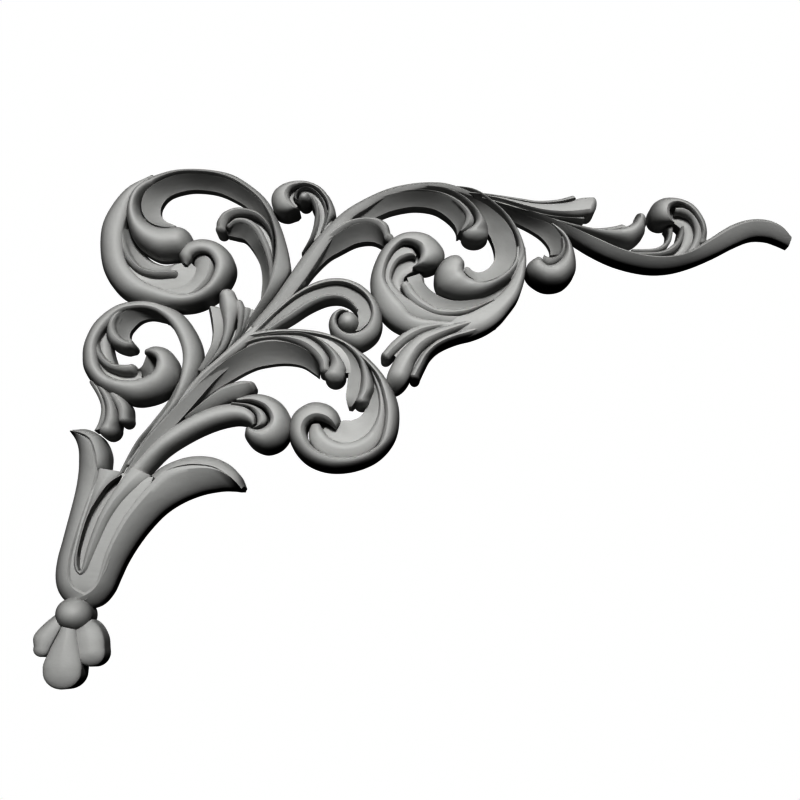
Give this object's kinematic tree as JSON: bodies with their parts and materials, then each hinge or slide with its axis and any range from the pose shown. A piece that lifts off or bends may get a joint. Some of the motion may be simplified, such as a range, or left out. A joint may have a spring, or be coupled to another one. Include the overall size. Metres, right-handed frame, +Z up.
{
  "type": "carved corner applique",
  "caption": "Carved wood corner applique of leaf scrolls, with a long side arm and a short arm that ends in a calyx, ball and shell.",
  "frame": {"origin": "on the flat back, behind the heart of the stems where the scrolls branch", "axes": "+X along the long arm to the right as seen from the front, +Z up, +Y into the surface that it is fixed to, so the relief rises towards -Y"},
  "size_m": [0.3785, 0.024, 0.2627],
  "materials": {
    "carved_wood": "satin grey primer over fine carved wood, with faint grain and tool marks"
  },
  "bodies": {
    "root": {"corner_applique": "carved_wood"}
  },
  "joints": []
}
